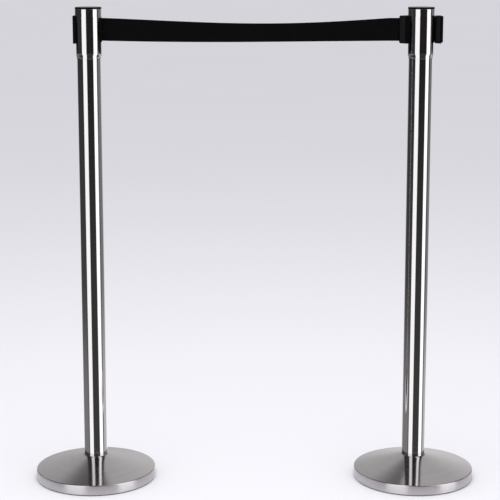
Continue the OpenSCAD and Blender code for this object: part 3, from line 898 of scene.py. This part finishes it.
def stage():
    """Pale floor that runs to the horizon. The steel mirrors only the discs under the two bases."""
    far, lift = 80.0, 0.2 * MM
    paper = floor_finish()
    floor = flat_sheet("floor", [(-far, -far), (far, -far), (far, far), (-far, far)], 0.0, paper)
    floor.visible_glossy = False
    reach = BASE_R + 65 * MM
    for side in POST_BODY:
        ring = [(axis_x(side) + p.x, p.y) for p in arc(0, 0, reach, 0, 360, 64)[:-1]]
        disc = flat_sheet(f"floor_under_{side}", ring, lift, paper)
        disc.visible_camera = disc.visible_diffuse = disc.visible_shadow = False


def studio():
    """World: an even pale light, a backdrop as pale as the far floor, and for mirrored rays a dark
    studio with tall softboxes. Azimuth is 0 straight in front of the posts and grows towards +X."""
    world = bpy.data.worlds.new("studio")
    bpy.context.scene.world = world
    world.use_nodes = True
    n = Nodes(world.node_tree)
    direction = n.add("ShaderNodeTexCoord").outputs["Generated"]
    x, y, z = n.add("ShaderNodeSeparateXYZ", {0: direction}).outputs
    azimuth = n.math("ARCTAN2", x, n.math("MULTIPLY", y, -1.0))
    elevation = n.math("ARCSINE", z)

    def band(value, low, high, soft):
        """1 from low to high, in degrees, and 0 outside, with soft ends."""
        low, high, soft = (math.radians(v) for v in (low, high, soft))
        return n.math("MULTIPLY", n.ramp(value, low - soft, low + soft, smooth=True),
                      n.ramp(value, high - soft, high + soft, 1.0, 0.0, smooth=True))

    def patch(first, last, soft, low, high, fade):
        """1 inside a window of azimuth and elevation, and 0 outside."""
        return n.math("MULTIPLY", band(azimuth, first, last, soft), band(elevation, low, high, fade))

    def rise(low, high, at_low, at_high):
        """Brightness that changes with elevation, in degrees."""
        return n.ramp(elevation, math.radians(low), math.radians(high), at_low, at_high)

    # pale straight down, and nearly black elsewhere, with a little more light below the horizon
    total = rise(-60, -45, 0.5, 0.0)
    for slope in ((-17, -4, 0.045, 0.0), (-30, -24, 0.0, 0.02)):
        total = n.math("ADD", total, rise(*slope))

    # azimuth from and to and its softness, elevation from and to and its softness, brightness
    glows = [(-200, -62, 10, -22, -15, 3, 0.19), (96, 200, 10, -22, -15, 3, 0.42),
             (98, 160, 8, -22, 12, 4, 0.22), (-200, -62, 10, -20, 60, 5, 0.022),
             (-140, 140, 12, 12, 34, 6, 0.38)]
    boxes = [(-55, -16, 1.5, -48, 82, 5, 1.5), (48, 84, 2.5, -48, 82, 5, 1.8)]
    for *where, bright in glows:
        total = n.math("ADD", total, n.math("MULTIPLY", patch(*where), bright))

    # behind the posts, paler on +X: azimuth from and to, brightness low down and high up. Each
    # stands here twice, once for either side of the seam at 180 degrees.
    for first, last, at_low, at_high in ((150, 180, 0.68, 0.50), (-210, -180, 0.68, 0.50),
                                         (-180, -150, 0.46, 0.42), (180, 210, 0.46, 0.42)):
        glow = rise(5, 50, at_low, at_high)
        total = n.math("ADD", total, n.math("MULTIPLY", patch(first, last, 8, -22, 110, 4), glow))

    # darker high up behind the posts, and the softboxes laid over everything else
    shade = n.math("MULTIPLY", patch(-195, -152, 5, 45, 120, 8), 0.85)
    total = n.math("MULTIPLY", total, n.math("SUBTRACT", 1.0, shade))
    for *where, bright in boxes:
        total = n.add("ShaderNodeMix", {0: patch(*where), 2: total, 3: bright}).outputs[0]

    pale = (0.706, 0.70, 0.742, 1)
    mirrored = n.add("ShaderNodeBackground", {"Color": n.combine(total, total, total)})
    even = n.add("ShaderNodeBackground", {"Color": pale, "Strength": 1.163})
    backdrop = n.add("ShaderNodeBackground", {"Color": pale, "Strength": 0.945})
    rays = n.add("ShaderNodeLightPath").outputs
    lit = n.add("ShaderNodeMixShader", {0: rays["Is Glossy Ray"], 1: even.outputs[0],
                                        2: mirrored.outputs[0]})
    shown = n.add("ShaderNodeMixShader", {0: rays["Is Camera Ray"], 1: lit.outputs[0],
                                          2: backdrop.outputs[0]})
    n.tree.links.new(shown.outputs[0], n.tree.nodes["World Output"].inputs[0])


def soft_light():
    """Wide light overhead that makes the floor brightest round the posts."""
    light = bpy.data.lights.new("overhead", "AREA")
    light.shape = "DISK"
    light.size = 3.0
    light.energy = 64
    obj = bpy.data.objects.new("overhead", light)
    obj.location = (0, -0.9, 3.6)
    obj.visible_glossy = False
    obj.visible_camera = False
    bpy.context.scene.collection.objects.link(obj)


def camera():
    """A long lens a little above the post tops, tipped down. The small shift keeps the posts nearly
    upright."""
    data = bpy.data.cameras.new("camera")
    data.lens = 110.6
    data.shift_y = -0.08
    obj = bpy.data.objects.new("camera", data)
    obj.location = (-0.01, -3.251, 1.165)
    obj.rotation_euler = (math.radians(90 - 9.91), 0, 0)
    bpy.context.scene.collection.objects.link(obj)
    bpy.context.scene.camera = obj
    bpy.context.scene.view_settings.view_transform = "Standard"


camera()
for post_side in POST_BODY:
    base_cover(post_side)
    tube(post_side)
    head_sleeve(post_side)
    head_cap(post_side)
    cassette_housing(post_side)
    receiver(post_side)
    screw_heads(post_side)
    clip(post_side)
stretched_belt()
parked_belt()
finish_cad_nodes()
stage()
studio()
soft_light()
